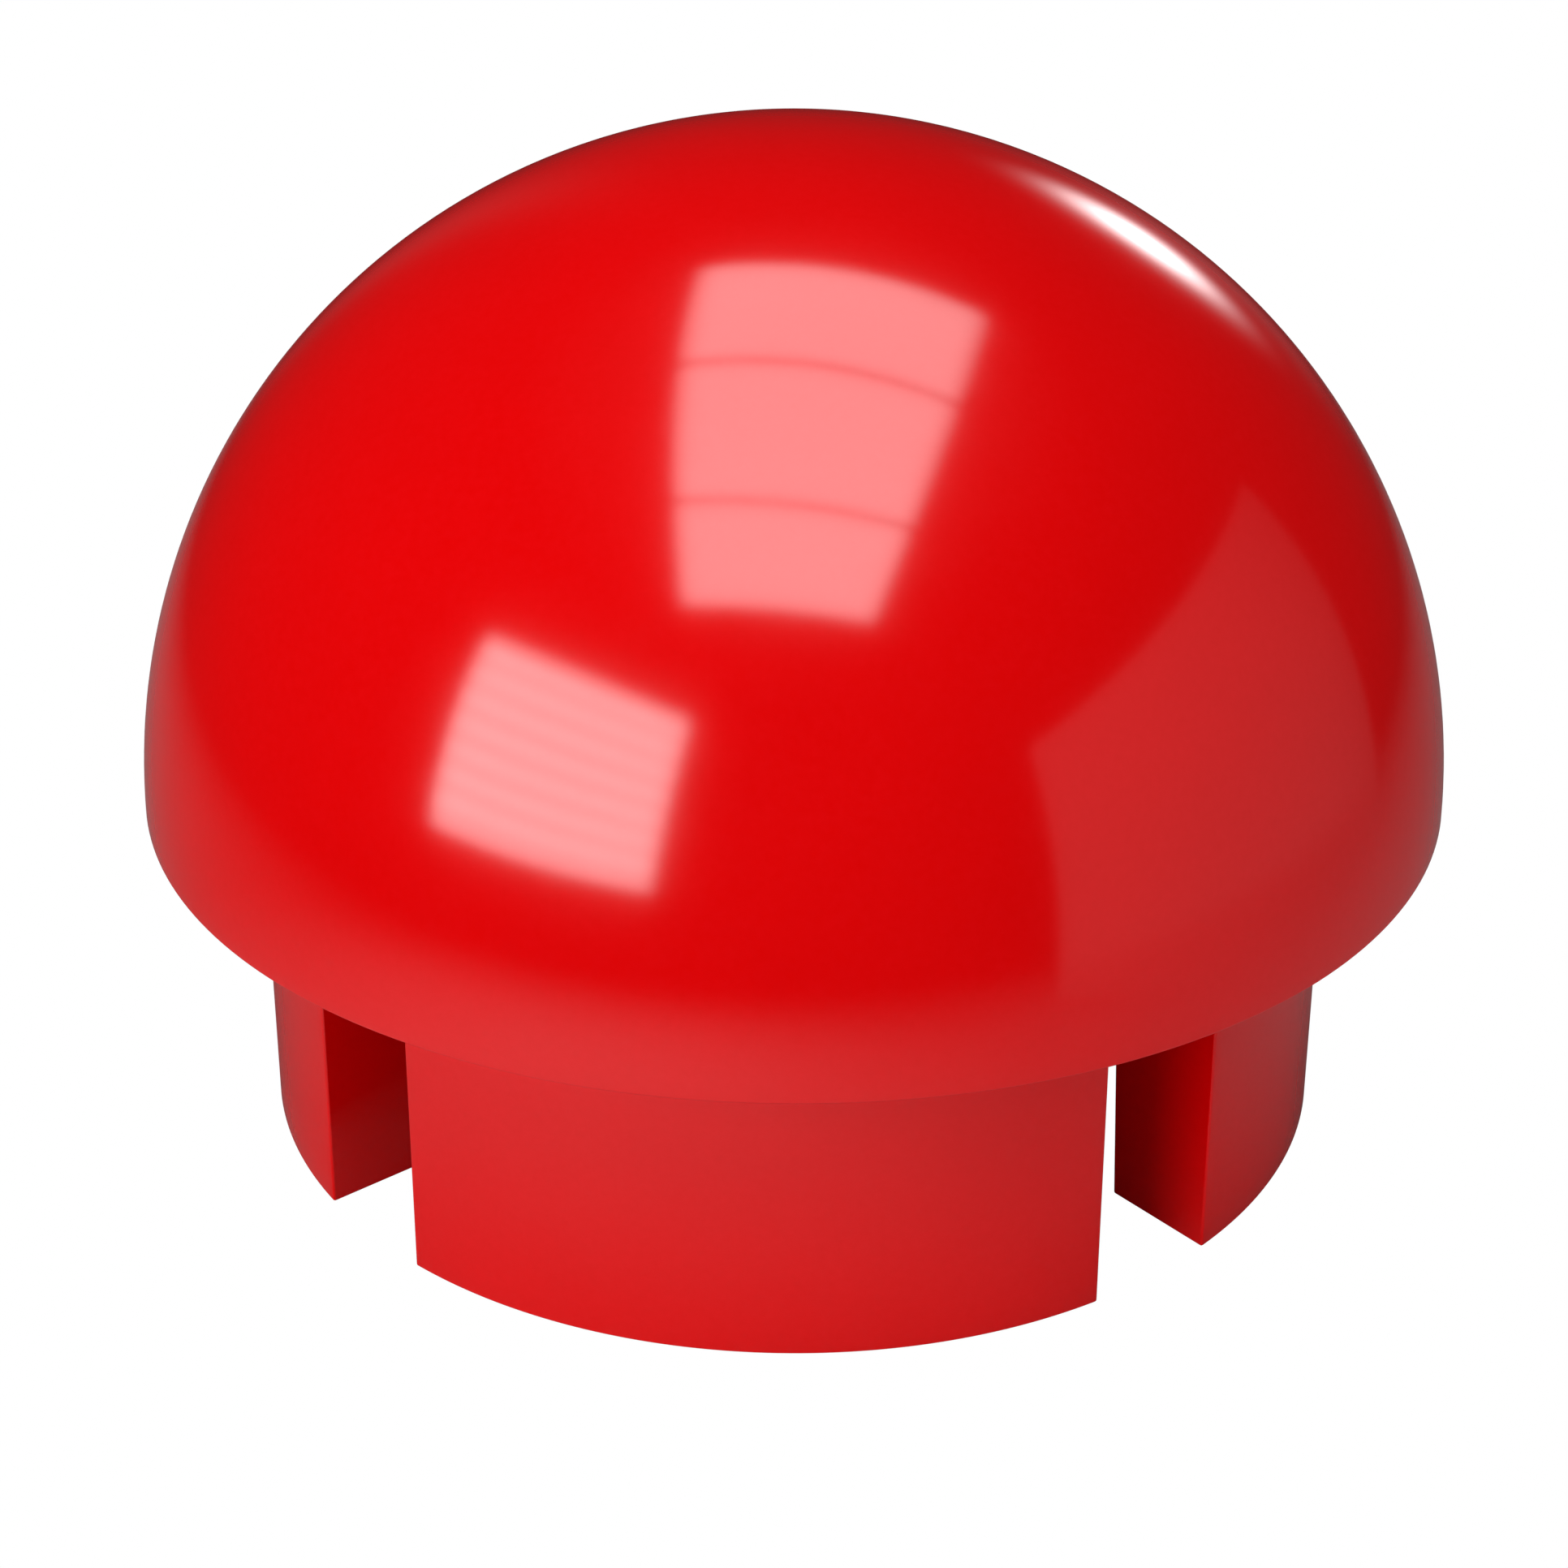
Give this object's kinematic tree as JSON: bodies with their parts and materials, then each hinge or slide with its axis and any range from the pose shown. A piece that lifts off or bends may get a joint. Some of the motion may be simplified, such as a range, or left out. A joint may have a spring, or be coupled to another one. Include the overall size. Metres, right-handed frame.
{
  "type": "domed tube end plug",
  "caption": "Hollow domed end plug for a round tube: a glossy hemisphere with a flat shoulder and a slotted ring of spring fingers that press into the bore.",
  "frame": {"origin": "on the axis, in the plane of the finger tips", "axes": "+Z along the axis towards the top of the dome; the spring fingers stand on +X, +Y, -X and -Y, with the slots on the diagonals"},
  "size_m": [0.0422, 0.0422, 0.0323],
  "materials": {
    "red_plastic": "glossy moulded plastic, a little matter inside the hollow"
  },
  "bodies": {
    "dome_body": {"dome": "red_plastic"},
    "right_finger": {"spring_finger_right": "red_plastic"},
    "back_finger": {"spring_finger_back": "red_plastic"},
    "left_finger": {"spring_finger_left": "red_plastic"},
    "front_finger": {"spring_finger_front": "red_plastic"}
  },
  "joints": [
    {"name": "right_flex", "type": "hinge", "parent": "dome_body", "child": "right_finger", "pos_m": [0.0142, 0, 0.0112], "axis": [0, 1, 0], "range_deg": [0, 2], "stiffness_Nm_per_rad": 80},
    {"name": "back_flex", "type": "hinge", "parent": "dome_body", "child": "back_finger", "pos_m": [0, 0.0142, 0.0112], "axis": [-1, 0, 0], "range_deg": [0, 2], "stiffness_Nm_per_rad": 80},
    {"name": "left_flex", "type": "hinge", "parent": "dome_body", "child": "left_finger", "pos_m": [-0.0142, 0, 0.0112], "axis": [0, -1, 0], "range_deg": [0, 2], "stiffness_Nm_per_rad": 80},
    {"name": "front_flex", "type": "hinge", "parent": "dome_body", "child": "front_finger", "pos_m": [0, -0.0142, 0.0112], "axis": [1, 0, 0], "range_deg": [0, 2], "stiffness_Nm_per_rad": 80}
  ]
}
